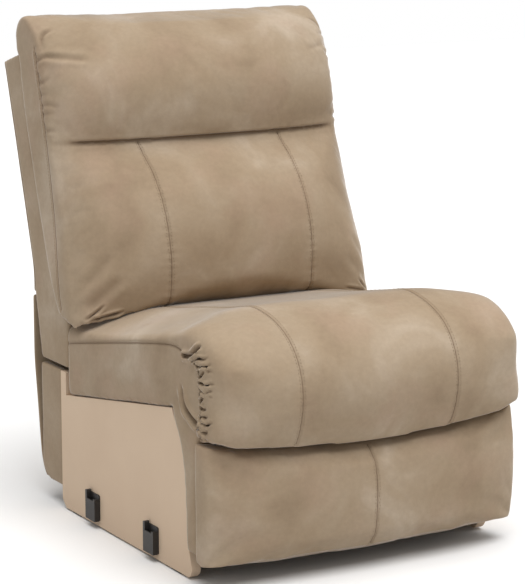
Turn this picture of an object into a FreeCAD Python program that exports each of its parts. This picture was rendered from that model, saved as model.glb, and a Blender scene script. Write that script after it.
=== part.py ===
"""Armless reclining module of a sectional sofa, as an assembly of separate pieces.

Millimetres, +Z up, front towards -Y, origin on the floor under the middle of the module.
A side view uses stations, measured back from the footrest's face, and heights above the floor.
"""

import FreeCAD, Part
import cmath
import math
import os

V = FreeCAD.Vector

# Widths across the module
WIDTH = 724.0            # over the footrest
CUSHION_INSET = 10.0     # ends of the seat and back cushions, within the footrest's ends
BASE_INSET = 16.0        # side boards within the footrest's ends
POST_PROUD = 10.0        # covered front posts over the side boards
POST_LAP = 15.0          # covered front posts within the side boards' outer faces

# Base
PANEL_T = 18.0
LINING_T = 1.5
GLIDE_T = 4.0
GLIDE_LENGTH = 40.0
PANEL_FRONT = 98.0       # station of the side board's front edge, above the toe
PANEL_REAR = 678.0       # station of the side board's rear edge
PANEL_TOP = 332.0        # height of the top edge at its front corner
CORNER_SETBACK = 62.0    # front top corner behind the front edge
UPSTAND_RISE = 53.0      # rear end of the board over its sloping top edge
UPSTAND_LENGTH = 25.0
SLOPE = 9.0              # degrees, top edge and seat tracks fall to the rear
APRON_LENGTH = 105.0     # covered rear boards behind the side boards
APRON_BOTTOM = 46.0
REAR_SHEET_T = 5.0
REAR_SHEET_RISE = 142.0  # rear sheet above the covered rear boards
STRETCHER_T = 22.0
STRETCHER_HEIGHT = 80.0
STRETCHER_SETBACK = 136.0       # front stretcher behind the side board's front edge
REAR_STRETCHER_SETBACK = 42.0   # rear stretcher before the side board's rear edge

# Joining brackets on the sides
JOINER_WIDTH = 44.0
JOINER_HEIGHT = 62.0
JOINER_BOTTOM = 16.0
JOINER_PLATE_T = 3.0
JOINER_POCKET = 7.5      # pocket depth, across the module
JOINER_WALL = 8.0
JOINER_SETBACK = 150.0   # front bracket behind the front edge of the side board
JOINER_PITCH = 267.0
TONGUE_T = 5.0
TONGUE_CLEARANCE = 1.5

# Seat glide
TRACK_DEPTH = 23.0
TRACK_HEIGHT = 44.0
TRACK_WALL = 2.5
TRACK_LENGTH = 360.0
GLIDE_TRAVEL = 140.0     # along the slope
BLOCK_LENGTH = 46.0
BLOCK_PITCH = 160.0
BAR_T = 4.0
BAR_HEIGHT = 30.0
RUNNING_GAP = 0.3
SIDE_GAP = 1.0           # between plates that pass each other

# Seat
SEAT_GAP = 1.0           # cushion over the side board's top edge
SEAT_BORDER = 115.0      # height of the sewn side border
SEAT_CROWN = 50.0        # rise of the top between the side borders
EDGE_LIFT = 6.0          # least rise, at the borders
CREST_LIFT = 8.0         # further rise of the roll's crest at its ends
ROLL_FRONT = -55.0       # station of the roll's front at the middle
ROLL_SIDE = 30.0         # station of the roll's front at its ends
ROLL_MID = 395.0         # height where the roll stands out most
FOLD_HEIGHT = 298.0      # underside of the roll at its ends
FOLD_SAG = 30.0          # sag of the underside at the middle
FOLD_GAP = 12.0          # between the roll and the footrest
POST_DROP = 2.0          # covered front posts under the roll
DECK_T = 12.0
RAIL_T = 22.0
RAIL_HEIGHT = 78.0
FRONT_RAIL_HEIGHT = 58.0
SEAT_CLEAR = 40.0        # seat's rear end before the side board's rear edge

# Footrest and its linkage
FOOT_DEPTH = 50.0        # station of the footrest's rear face
FOOT_BOTTOM = 46.0
FOOT_CROWN = 18.0
FOOT_FRONT = -12.0       # station of the face at the ends
FOOT_CORNER = 25.0       # station of the side seam
FOOT_BOARD_T = 15.0
FOOT_BOARD_INSET = 32.0  # board within the footrest's ends
FOOT_PIVOT_BACK = 40.0   # pivot behind the footrest's rear face
FOOT_PIVOT_HEIGHT = 210.0
LINK = 180.0             # between the end pivots of a link
LINK_WIDTH = 20.0
LINK_T = 4.0
FOLDED_ANGLE = 82.0      # between a link and the linkage's axis, folded
OPEN_ANGLE = 20.0
AXIS_FOLDED = -20.0      # rise of the linkage's axis, folded
AXIS_OPEN = 15.0
RIVET_R = 5.0
HEAD_R = 8.0
HEAD_T = 3.0
TUBE_R = 10.0
TUBE_WALL = 2.0
TUBE_REACH = 55.0        # cross tube along the long link from its top pivot
BRACKET_T = 4.0

# Back
BACK_CLEAR = 10.0        # wing's lower edge over the covered rear boards
PIVOT_BACK = 42.0        # back's pivot behind the side board's rear edge
PIVOT_RISE = 27.0        # back's pivot over the covered rear boards
BACK_RISE = 659.0        # wing's top over the covered rear boards
WING_T = 16.0
BACK_POST_T = 21.0
BACK_SHEET_T = 5.0
BACK_TOP_LENGTH = 71.0
BACK_RAIL_HEIGHT = 48.0
WEB_T = 2.0
WEB_HEIGHT = 50.0
WEB_COUNT = 5
BORDER_LEAN = 0.256      # run of the sewn border per unit of height
LUMBAR_CROWN = 161.0
HEAD_CROWN = 118.0
HEAD_OVER = 87.0         # head cushion's crown over the wing's top
PIN_R = 6.0
HINGE_EYE = 16.0         # hinge plate round its pin
CAP_T = 8.0

# Values that follow from the sizes
TAN = math.tan(math.radians(SLOPE))
CUSHION_END = WIDTH / 2 - CUSHION_INSET
PANEL_OUT = WIDTH / 2 - BASE_INSET
PANEL_IN = PANEL_OUT - PANEL_T
FRONT_POST_OUT = PANEL_OUT + POST_PROUD
FRONT_POST_IN = PANEL_OUT - POST_LAP
TRACK_IN = PANEL_IN - TRACK_DEPTH
BAR_OUT = TRACK_IN - SIDE_GAP
RAIL_OUT = BAR_OUT - BAR_T
RAIL_IN = RAIL_OUT - RAIL_T
BRACKET_IN = RAIL_IN - BRACKET_T
LINK_OUT = BRACKET_IN - HEAD_T - SIDE_GAP
LINK_MID = LINK_OUT - LINK_T
LINK_NEAR = LINK_MID - SIDE_GAP
LINK_IN = LINK_NEAR - LINK_T
PANEL_CORNER = PANEL_FRONT + CORNER_SETBACK
UPSTAND_TOP = PANEL_TOP - (PANEL_REAR - PANEL_CORNER) * TAN + UPSTAND_RISE
SEAT_REAR = PANEL_REAR - SEAT_CLEAR
RAIL_FRONT = PANEL_FRONT + 2.0
RAIL_BACK = RAIL_FRONT + RAIL_T
BACK_TOP = UPSTAND_TOP + BACK_RISE
FOOT_PIVOT = (FOOT_DEPTH + FOOT_PIVOT_BACK, FOOT_PIVOT_HEIGHT)
BACK_PIVOT = (PANEL_REAR + PIVOT_BACK, UPSTAND_TOP + PIVOT_RISE)


def back_point(behind, up):
    """Point of the back, behind and over the side board's rear corner, in shares of the back's rise."""
    return (PANEL_REAR + behind * BACK_RISE, UPSTAND_TOP + up * BACK_RISE)


# The hollow front edge of the back's wings and posts, and its outer sheet
WING_FOOT = back_point(-0.055, 0.17)
WING_WAIST = back_point(0.017, 0.284)
WING_BEND = back_point(0.146, 0.54)
WING_HEAD = back_point(0.278, 0.993)
SHEET_FOOT = back_point(0.2, 0.226)
SHEET_WAIST = back_point(0.199, 0.297)
SHEET_BEND = back_point(0.267, 0.522)
SHEET_HEAD = back_point(0.408, 0.97)
REAR = SHEET_HEAD[0] + BACK_SHEET_T
FACE_Y = -(ROLL_FRONT + REAR) / 2

NODES = {}


# Drawing helpers

def at(x, station, height):
    return V(x, FACE_Y + station, height)


def side_wire(x, start, steps):
    """Closed wire at x. A step is a point, or the middle and the end of an arc."""
    edges = []
    here = start
    for step in list(steps) + [start]:
        if isinstance(step[0], tuple):
            middle, end = step
            edges.append(Part.Arc(at(x, *here), at(x, *middle), at(x, *end)).toShape())
        elif step != here:
            end = step
            edges.append(Part.LineSegment(at(x, *here), at(x, *end)).toShape())
        here = end
    return Part.Wire(edges)


def plate(x_in, x_out, start, steps):
    """Side outline, pushed across the module."""
    return Part.Face(side_wire(x_in, start, steps)).extrude(V(x_out - x_in, 0, 0))


def rounded(points, radius):
    """Start and steps of a polygon whose corners are rounded."""
    steps = []
    for index, corner in enumerate(points):
        here = complex(*corner)
        to_last = complex(*points[index - 1]) - here
        to_next = complex(*points[(index + 1) % len(points)]) - here
        to_last /= abs(to_last)
        to_next /= abs(to_next)
        half = math.acos(max(-1.0, min(1.0, (to_last * to_next.conjugate()).real))) / 2
        inward = (to_last + to_next) / abs(to_last + to_next)
        begin = here + to_last * radius / math.tan(half)
        end = here + to_next * radius / math.tan(half)
        middle = here + inward * (radius / math.sin(half) - radius)
        steps.append((begin.real, begin.imag))
        steps.append(((middle.real, middle.imag), (end.real, end.imag)))
    return steps[0], steps[1:]


def rounded_plate(x_in, x_out, points, radius):
    return plate(x_in, x_out, *rounded(points, radius))


def rod(x_in, x_out, centre, radius):
    return Part.makeCylinder(radius, x_out - x_in, at(x_in, *centre), V(1, 0, 0))


def box(x_in, x_out, near, far, low, high):
    return Part.makeBox(x_out - x_in, far - near, high - low, at(x_in, near, low))


def link_bar(x_in, x_out, first, last, width):
    """Flat bar with round ends about its two end pivots."""
    a = complex(*first)
    b = complex(*last)
    along = (b - a) / abs(b - a) * width / 2
    across = along * 1j
    corner = [a + across, b + across, b + along, b - across, a - across, a - along]
    p = [(c.real, c.imag) for c in corner]
    return plate(x_in, x_out, p[0], [p[1], (p[2], p[3]), p[4], (p[5], p[0])])


def mirrored(shape):
    return shape.mirror(V(0, 0, 0), V(1, 0, 0))


def keep(name, *solids):
    NODES[name] = solids[0] if len(solids) == 1 else Part.makeCompound(list(solids))


def keep_pair(name, *solids):
    keep("right_" + name, *solids)
    keep("left_" + name, *[mirrored(solid) for solid in solids])


def keep_both(name, *solids):
    """One node that holds the pieces of both sides."""
    keep(name, *solids, *[mirrored(solid) for solid in solids])


def on_both_sides(share):
    """Places of a cushion's sections, as shares of its half width."""
    return [-s for s in reversed(share)] + [0.0] + list(share)


def swell(share, power):
    """Fullness of a stuffed form: 1 in the middle, 0 at its sides."""
    return max(0.0, 1.0 - abs(share) ** power) ** (1.0 / power)


def cushion(section, half_width, shares):
    """Smooth stuffed form through side sections, from one side to the other."""
    wires = [side_wire(u * half_width, *section(u)) for u in on_both_sides(shares)]
    return Part.makeLoft(wires, True, False, False, 3)


# Lines that several pieces share

def panel_top(station):
    return PANEL_TOP - (station - PANEL_CORNER) * TAN


def seat_base(station):
    return panel_top(station) + SEAT_GAP


def seat_top(station, u):
    return seat_base(station) + SEAT_BORDER + EDGE_LIFT + SEAT_CROWN * swell(u, 4)


def fold_height(u):
    return FOLD_HEIGHT - FOLD_SAG * (1 - u * u)


def sloped(x_in, x_out, near, far, drop, height, radius=0.0):
    """Bar parallel to the seat's underside, a drop below it."""
    low = drop + height
    points = [(near, seat_base(near) - low), (far, seat_base(far) - low),
              (far, seat_base(far) - drop), (near, seat_base(near) - drop)]
    if radius:
        return rounded_plate(x_in, x_out, points, radius)
    return plate(x_in, x_out, points[0], points[1:])


def circle_through(first, second, third):
    """Centre and radius of the arc through three points."""
    curve = Part.Arc(V(*first, 0), V(*second, 0), V(*third, 0)).toShape().Curve
    return (curve.Center.x, curve.Center.y), curve.Radius


def smooth_arc(start, middle, end, goal):
    """Middle and end of an arc to the goal that goes on smoothly from the arc before it."""
    centre, _ = circle_through(start, middle, end)
    ray = complex(*end) - complex(*centre)
    way = ray * 1j / abs(ray)
    if (way * (complex(*end) - complex(*middle)).conjugate()).real < 0:
        way = -way
    chord = complex(*goal) - complex(*end)
    bend = cmath.phase(chord / way)
    halfway = complex(*end) + chord / 2 - 1j * chord / 2 * math.tan(bend / 2)
    return ((halfway.real, halfway.imag), goal)


WING_CENTRE, WING_RADIUS = circle_through(WING_WAIST, WING_BEND, WING_HEAD)


def wing_edge(height, setback=0.0):
    """Point of the wing's hollow front edge at a height."""
    if height < WING_WAIST[1]:
        part = (height - WING_FOOT[1]) / (WING_WAIST[1] - WING_FOOT[1])
        return (WING_FOOT[0] + part * (WING_WAIST[0] - WING_FOOT[0]) + setback, height)
    rise = height - WING_CENTRE[1]
    side = 1.0 if WING_BEND[0] > WING_CENTRE[0] else -1.0
    return (WING_CENTRE[0] + side * math.sqrt(WING_RADIUS ** 2 - rise ** 2) + setback, height)


def wing_arc(low, high, setback=0.0):
    """Middle and end of the wing's edge, going up."""
    return (wing_edge((low + high) / 2, setback), wing_edge(high, setback))


def border(height):
    """Station of the sewn border at the front of the back."""
    return WING_FOOT[0] - 15.0 + (height - WING_FOOT[1]) * BORDER_LEAN


# Base

PANEL_EDGE = {
    "toe": (PANEL_FRONT - 12.0, GLIDE_T + 20.0),
    "heel": (PANEL_FRONT + 2.0, GLIDE_T),
    "low": (PANEL_FRONT, GLIDE_T + 56.0),
    "knee": (PANEL_FRONT + 18.0, PANEL_TOP - 107.0),
    "brow": (PANEL_CORNER - 3.0, PANEL_TOP - 18.0),
}


def mixed(first, last, part, bow):
    """Point part of the way along a line, moved off it by a bow to the rear."""
    return (first[0] + part * (last[0] - first[0]) + bow, first[1] + part * (last[1] - first[1]))


def panel_outline():
    edge = PANEL_EDGE
    upstand_front = PANEL_REAR - UPSTAND_LENGTH
    shin = mixed(edge["low"], edge["knee"], 0.5, -4.0)
    hollow = mixed(edge["knee"], edge["brow"], 0.5, -7.0)
    toe_round = mixed(edge["toe"], edge["heel"], 0.5, -4.0)
    steps = [
        (PANEL_REAR - 18.0, GLIDE_T),
        (PANEL_REAR, GLIDE_T + 16.0),
        (PANEL_REAR, UPSTAND_TOP),
        (upstand_front, UPSTAND_TOP),
        (upstand_front, panel_top(upstand_front)),
        (PANEL_CORNER + 6.0, panel_top(PANEL_CORNER + 6.0)),
        edge["brow"],
        (hollow, edge["knee"]),
        (shin, edge["low"]),
        edge["toe"],
        (toe_round, edge["heel"]),
    ]
    return edge["heel"], steps


def build_panels():
    keep_pair("side_panel", plate(PANEL_IN, PANEL_OUT, *panel_outline()))
    keep_pair("side_lining", plate(PANEL_OUT, PANEL_OUT + LINING_T, *panel_outline()))
    middle = (PANEL_IN + PANEL_OUT) / 2
    half = PANEL_T / 2 - 1.0
    pads = []
    for centre in (PANEL_FRONT + 60.0, PANEL_REAR - 65.0):
        near = centre - GLIDE_LENGTH / 2
        pads.append(box(middle - half, middle + half, near, near + GLIDE_LENGTH, 0.0, GLIDE_T))
    keep_both("floor_glides", *pads)


def build_stretchers():
    front = PANEL_FRONT + STRETCHER_SETBACK
    rear = PANEL_REAR - REAR_STRETCHER_SETBACK
    for name, near, low in (("front_stretcher", front, 40.0), ("rear_stretcher", rear, 60.0)):
        keep(name, box(-PANEL_IN, PANEL_IN, near, near + STRETCHER_T, low, low + STRETCHER_HEIGHT))


def build_apron():
    """Covered rear boards, and the loose sheet that hangs behind them."""
    rear = PANEL_REAR + APRON_LENGTH
    tuck = (rear - 25.0, APRON_BOTTOM + 4.0)
    hem = (rear, APRON_BOTTOM + 27.0)
    steps = [(rear - 38.0, APRON_BOTTOM), tuck, hem, (rear, UPSTAND_TOP), (PANEL_REAR, UPSTAND_TOP)]
    keep_pair("rear_post", plate(PANEL_IN, PANEL_OUT, (PANEL_REAR, APRON_BOTTOM), steps))
    out = rear + 34.0
    top = UPSTAND_TOP + REAR_SHEET_RISE
    inner = [tuck, hem, (out, UPSTAND_TOP), (out, top)]
    outer = [(out + REAR_SHEET_T, top), (out + REAR_SHEET_T, UPSTAND_TOP - 1.0)]
    outer += [(hem[0] + REAR_SHEET_T, hem[1] - 2.0), (tuck[0] + REAR_SHEET_T, tuck[1] - 4.0)]
    keep("rear_sheet", plate(-PANEL_OUT, PANEL_OUT, inner[0], inner[1:] + outer))


def joiner_places():
    first = PANEL_FRONT + JOINER_SETBACK
    return (("front", first), ("rear", first + JOINER_PITCH))


def build_joiners():
    """Pockets on the left side and tongues on the right side, which drop into a neighbour's pockets."""
    face = PANEL_OUT + LINING_T
    inner = face + JOINER_PLATE_T
    lip = inner + JOINER_POCKET
    low = JOINER_BOTTOM
    high = low + JOINER_HEIGHT
    for place, centre in joiner_places():
        near = centre - JOINER_WIDTH / 2
        far = centre + JOINER_WIDTH / 2
        back = rounded_plate(face, inner, [(near, low), (far, low), (far, high - 6.0), (near, high - 6.0)], 4.0)
        rib = rounded_plate(inner, lip + JOINER_PLATE_T,
                            [(far - JOINER_WALL, low), (far, low), (far, high), (far - JOINER_WALL, high)], 3.0)
        wall = box(inner, lip + JOINER_PLATE_T, near, near + JOINER_WALL, low, high - 14.0)
        floor = box(inner, lip + JOINER_PLATE_T, near, far, low, low + JOINER_WALL)
        cover = box(lip, lip + JOINER_PLATE_T, near, far, low, high - 18.0)
        pocket = back.multiFuse([rib, wall, floor, cover]).removeSplitter()
        keep("left_%s_joiner" % place, mirrored(pocket))
        half = JOINER_WIDTH / 2 - JOINER_WALL - TONGUE_CLEARANCE
        base = rounded_plate(face, inner, [(near, low), (far, low), (far, high), (near, high)], 4.0)
        bridge = box(inner, lip + JOINER_PLATE_T, centre - half, centre + half, high - 14.0, high - 2.0)
        tongue = box(lip + JOINER_PLATE_T - TONGUE_T, lip + JOINER_PLATE_T,
                     centre - half, centre + half, low + 6.0, high - 2.0)
        keep("right_%s_joiner" % place, base.multiFuse([bridge, tongue]).removeSplitter())


# Seat glide

TRACK_DROP = DECK_T + (RAIL_HEIGHT - TRACK_HEIGHT) / 2
TRACK_NEAR = PANEL_FRONT + 92.0
TRACK_FAR = TRACK_NEAR + TRACK_LENGTH
BLOCK_REAR = TRACK_FAR - 30.0
BAR_FAR = BLOCK_REAR + BLOCK_LENGTH / 2 + 4.0


def build_tracks():
    web = sloped(PANEL_IN - TRACK_WALL, PANEL_IN, TRACK_NEAR, TRACK_FAR, TRACK_DROP, TRACK_HEIGHT)
    lips = [web]
    for drop in (TRACK_DROP, TRACK_DROP + TRACK_HEIGHT - TRACK_WALL):
        lips.append(sloped(TRACK_IN, PANEL_IN, TRACK_NEAR, TRACK_FAR, drop, TRACK_WALL))
    keep_pair("track", lips[0].multiFuse(lips[1:]).removeSplitter())
    blocks = []
    for centre in (BLOCK_REAR - BLOCK_PITCH, BLOCK_REAR):
        near = centre - BLOCK_LENGTH / 2
        inset = TRACK_WALL + RUNNING_GAP
        blocks.append(sloped(BAR_OUT, PANEL_IN - TRACK_WALL - RUNNING_GAP, near, near + BLOCK_LENGTH,
                             TRACK_DROP + inset, TRACK_HEIGHT - 2 * inset))
    keep_both("slide_blocks", *blocks)
    bar_drop = TRACK_DROP + (TRACK_HEIGHT - BAR_HEIGHT) / 2
    bar_near = BLOCK_REAR - BLOCK_PITCH - BLOCK_LENGTH / 2 - 4.0
    keep_both("slide_bars", sloped(RAIL_OUT, BAR_OUT, bar_near, BAR_FAR, bar_drop, BAR_HEIGHT, 6.0))


# Seat frame and cushion

RAIL_END = SEAT_REAR - 13.0


def build_seat_frame():
    side = sloped(RAIL_IN, RAIL_OUT, RAIL_BACK, RAIL_END, DECK_T, RAIL_HEIGHT)
    keep_pair("seat_rail", side)
    low = seat_base(RAIL_FRONT) - FRONT_RAIL_HEIGHT
    front_top = [(RAIL_BACK, low), (RAIL_BACK, seat_base(RAIL_BACK)), (RAIL_FRONT, seat_base(RAIL_FRONT))]
    keep("front_seat_rail", plate(-FRONT_POST_IN, FRONT_POST_IN, (RAIL_FRONT, low), front_top))
    keep("rear_seat_rail", sloped(-RAIL_IN, RAIL_IN, RAIL_END - RAIL_T, RAIL_END, DECK_T, RAIL_HEIGHT))
    deck = sloped(-RAIL_OUT, RAIL_OUT, RAIL_BACK, RAIL_END, 0.0, DECK_T)
    vent_pitch = (RAIL_END - RAIL_BACK) / 4
    for row in (1, 2, 3):
        for x in (-150.0, 0.0, 150.0):
            station = RAIL_BACK + row * vent_pitch
            drill = Part.makeCylinder(18.0, 4 * DECK_T, at(x, station, seat_base(station) - 2 * DECK_T))
            deck = deck.cut(drill)
    keep("seat_deck", deck)


def post_outline():
    """Covered front post, whose rear edge runs along the side board's front edge."""
    gap = 3.0
    edge = {name: (point[0] - gap, point[1]) for name, point in PANEL_EDGE.items()}
    shin = mixed(edge["low"], edge["knee"], 0.5, -4.0)
    hollow = mixed(edge["knee"], edge["brow"], 0.5, -7.0)
    near = FOOT_DEPTH + 2.0
    top = FOLD_HEIGHT - POST_DROP
    top_far = (edge["brow"][0], seat_base(edge["brow"][0]) - RUNNING_GAP)
    top_near = (RAIL_FRONT, seat_base(RAIL_FRONT) - RUNNING_GAP)
    steps = [(near, top), (RAIL_FRONT, top), top_near, top_far, edge["brow"]]
    steps += [(hollow, edge["knee"]), (shin, edge["low"])]
    return (near, edge["low"][1]), steps


def build_front_posts():
    keep_pair("front_post", plate(FRONT_POST_IN, FRONT_POST_OUT, *post_outline()))


def seat_section(u):
    full = swell(u, 4)
    front = ROLL_SIDE + (ROLL_FRONT - ROLL_SIDE) * full
    crest_station = PANEL_FRONT + 32.0
    crest = (crest_station, seat_top(crest_station, u) + EDGE_LIFT + CREST_LIFT * (1 - full))
    half = (SEAT_REAR + crest_station) / 2
    top_rear = (SEAT_REAR, seat_top(SEAT_REAR, u))
    top_half = (half, seat_top(half, u) - 0.4 * EDGE_LIFT)
    brow = (front + 11.0, ROLL_MID + 28.0 + 12.0 * full)
    nose = (front, ROLL_MID - 13.0)
    chin = (front + 13.0 - 46.0 * (1 - full), FOLD_HEIGHT + 16.0)
    fold = (12.0 - 32.0 * full, fold_height(u))
    behind = RAIL_FRONT - RUNNING_GAP
    start = (SEAT_REAR, seat_base(SEAT_REAR))
    steps = [
        top_rear,
        (top_half, crest),
        smooth_arc(top_rear, top_half, crest, brow),
        (nose, chin),
        smooth_arc(brow, nose, chin, fold),
        (behind, FOLD_HEIGHT + 1.0),
        (behind, seat_base(behind)),
    ]
    return start, steps


def build_seat_cushion():
    keep("seat_cushion", cushion(seat_section, CUSHION_END, (0.25, 0.5, 0.75, 0.9, 0.97, 1.0)))


# Footrest linkage

def turn(degrees):
    """Unit vectors along the linkage's axis, towards the front, and across it, upwards."""
    angle = math.radians(degrees)
    return complex(-math.cos(angle), math.sin(angle)), complex(math.sin(angle), math.cos(angle))


def linkage_pivots(share):
    """Pivots with the linkage opened by a share of its travel."""
    spread = math.radians(FOLDED_ANGLE + share * (OPEN_ANGLE - FOLDED_ANGLE))
    rise = AXIS_FOLDED + share * (AXIS_OPEN - AXIS_FOLDED)
    folded_along = turn(AXIS_FOLDED)[0]
    root = complex(*FOOT_PIVOT) - folded_along * 2 * LINK * math.cos(math.radians(FOLDED_ANGLE))
    along, across = turn(rise)
    step = along * LINK * math.cos(spread)
    drop = across * LINK * math.sin(spread)
    place = {
        "root": root,
        "slot": root - drop,
        "top": root + step,
        "low": root + step - drop,
        "foot": root + 2 * step,
        "end": root + 2 * step - drop,
    }
    place["cross"] = (place["root"] + place["low"]) / 2
    place["cross_front"] = (place["top"] + place["end"]) / 2
    return {name: (point.real, point.imag) for name, point in place.items()}


FOLDED = linkage_pivots(0.0)


def rivet(x_in, x_out, centre):
    """Rivet through plates from x_in to x_out, with a head on each end."""
    shank = rod(x_in, x_out, centre, RIVET_R)
    heads = [rod(x_out, x_out + HEAD_T, centre, HEAD_R), rod(x_in - HEAD_T, x_in, centre, HEAD_R)]
    return shank.multiFuse(heads).removeSplitter()


def drilled(shape, x_in, x_out, tight, loose):
    """Plate with holes that hold a rivet and holes that turn on one."""
    for names, radius in ((tight, RIVET_R), (loose, RIVET_R + RUNNING_GAP)):
        for name in names:
            shape = shape.cut(rod(x_in - 1.0, x_out + 1.0, FOLDED[name], radius))
    return shape


def build_links():
    far = (LINK_MID, LINK_OUT)
    near = (LINK_IN, LINK_NEAR)
    long_link = link_bar(*near, FOLDED["root"], FOLDED["low"], LINK_WIDTH)
    keep_pair("long_link", drilled(long_link, *near, ["root", "cross", "low"], []))
    cross_link = link_bar(*far, FOLDED["slot"], FOLDED["top"], LINK_WIDTH)
    keep_pair("cross_link", drilled(cross_link, *far, ["slot", "top"], ["cross"]))
    front_link = link_bar(*near, FOLDED["top"], FOLDED["end"], LINK_WIDTH)
    keep_pair("front_link", drilled(front_link, *near, [], ["top", "cross_front"]))
    lift_link = link_bar(*far, FOLDED["low"], FOLDED["foot"], LINK_WIDTH)
    keep_pair("lift_link", drilled(lift_link, *far, ["foot", "cross_front"], ["low"]))


def build_rivets():
    through = (LINK_IN, LINK_OUT)
    root = rivet(LINK_IN, RAIL_IN + SIDE_GAP, FOLDED["root"])
    keep_both("long_link_rivets", root, rivet(*through, FOLDED["cross"]), rivet(*through, FOLDED["low"]))
    slot = rivet(LINK_MID, RAIL_IN + SIDE_GAP, FOLDED["slot"])
    keep_both("cross_link_rivets", slot, rivet(*through, FOLDED["top"]))
    keep_both("lift_link_rivets", rivet(*through, FOLDED["foot"]), rivet(*through, FOLDED["cross_front"]))


def build_cross_tube():
    root = complex(*FOLDED["root"])
    low = complex(*FOLDED["low"])
    centre = root + (low - root) * TUBE_REACH / LINK
    centre = (centre.real, centre.imag)
    tube = rod(-LINK_IN, LINK_IN, centre, TUBE_R).cut(rod(-LINK_IN, LINK_IN, centre, TUBE_R - TUBE_WALL))
    keep("cross_tube", tube)


def outward(point, centre, change):
    """Point moved away from a centre."""
    ray = complex(*point) - complex(*centre)
    moved = complex(*point) + ray * change / abs(ray)
    return (moved.real, moved.imag)


def slot_cut(x_in, x_out, radius):
    """Curved slot along the path of the cross link's lower rivet, in three arcs."""
    path = [linkage_pivots(step / 6)["slot"] for step in range(7)]
    cuts = [rod(x_in, x_out, point, radius) for point in path[::2]]
    for first in (0, 2, 4):
        bend = path[first:first + 3]
        centre, _ = circle_through(*bend)
        inner = [outward(point, centre, -radius) for point in bend]
        outer = [outward(point, centre, radius) for point in bend]
        cuts.append(plate(x_in, x_out, inner[0],
                          [(inner[1], inner[2]), outer[2], (outer[1], outer[0])]))
    return cuts[0].multiFuse(cuts[1:])


def build_linkage_brackets():
    slot_low = FOLDED["slot"]
    slot_high = linkage_pivots(1.0)["slot"]
    root = FOLDED["root"]
    tab_far = RAIL_BACK + 130.0
    tab_drop = DECK_T + 10.0
    points = [
        (RAIL_BACK, seat_base(RAIL_BACK) - tab_drop),
        (RAIL_BACK, root[1] + 34.0),
        (slot_high[0] - 22.0, root[1] + 12.0),
        (slot_high[0] - 22.0, slot_high[1] - 8.0),
        (slot_low[0] - 14.0, slot_low[1] - 20.0),
        (slot_low[0] + 20.0, slot_low[1] - 14.0),
        (slot_low[0] + 20.0, root[1] - 20.0),
        (tab_far, seat_base(tab_far) - DECK_T - RAIL_HEIGHT),
        (tab_far, seat_base(tab_far) - tab_drop),
    ]
    shape = rounded_plate(BRACKET_IN, RAIL_IN, points, 6.0)
    shape = shape.cut(slot_cut(BRACKET_IN - 1.0, RAIL_IN + 1.0, RIVET_R + 2 * RUNNING_GAP))
    shape = shape.cut(rod(BRACKET_IN - 1.0, RAIL_IN + 1.0, root, RIVET_R + RUNNING_GAP))
    keep_pair("linkage_bracket", shape)


# Footrest

def footrest_section(u):
    face = FOOT_CORNER + (FOOT_FRONT - FOOT_CORNER) * swell(u, 8) - FOOT_CROWN * (1 - u * u)
    top = fold_height(u) - FOLD_GAP
    bottom = FOOT_BOTTOM + 6.0 * u * u
    start = (FOOT_DEPTH, bottom + 4.0)
    steps = [
        (FOOT_DEPTH, top),
        (face + 14.0, top),
        ((face - 4.0, (top + bottom) / 2), (face + 10.0, bottom)),
    ]
    return start, steps


def build_footrest():
    board = (FOOT_DEPTH - FOOT_BOARD_T, FOOT_DEPTH)
    low = FOOT_BOTTOM + 16.0
    high = FOLD_HEIGHT - FOLD_SAG - FOLD_GAP - 14.0
    half = WIDTH / 2 - FOOT_BOARD_INSET
    keep("footrest_board", box(-half, half, board[0], board[1], low, high))
    gap = RUNNING_GAP
    pocket = box(-half - gap, half + gap, board[0] - gap, board[1] + 5.0, low - gap, high + gap)
    pad = cushion(footrest_section, WIDTH / 2, (0.3, 0.6, 0.85, 0.95, 1.0))
    keep("footrest_pad", pad.cut(pocket))
    foot = FOLDED["foot"]
    ear = LINK_WIDTH / 2 + 1.0
    points = [
        (FOOT_DEPTH, foot[1] - 40.0),
        (FOOT_DEPTH, high - 4.0),
        (FOOT_DEPTH + 12.0, high - 4.0),
        (foot[0] + ear, foot[1] + ear - 2.0),
        (foot[0] + ear, foot[1] - ear),
    ]
    web = rounded_plate(LINK_IN, LINK_NEAR, points, 5.0)
    flange = box(LINK_IN - 34.0, LINK_NEAR, FOOT_DEPTH, FOOT_DEPTH + BRACKET_T, foot[1] - 36.0, high - 8.0)
    hole = rod(LINK_IN - 1.0, LINK_NEAR + 1.0, foot, RIVET_R + gap)
    keep_pair("footrest_bracket", web.fuse(flange).removeSplitter().cut(hole))


# Back

POST_OUT = PANEL_OUT - WING_T
POST_IN = POST_OUT - BACK_POST_T
EAR_IN = POST_IN - BRACKET_T


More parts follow.
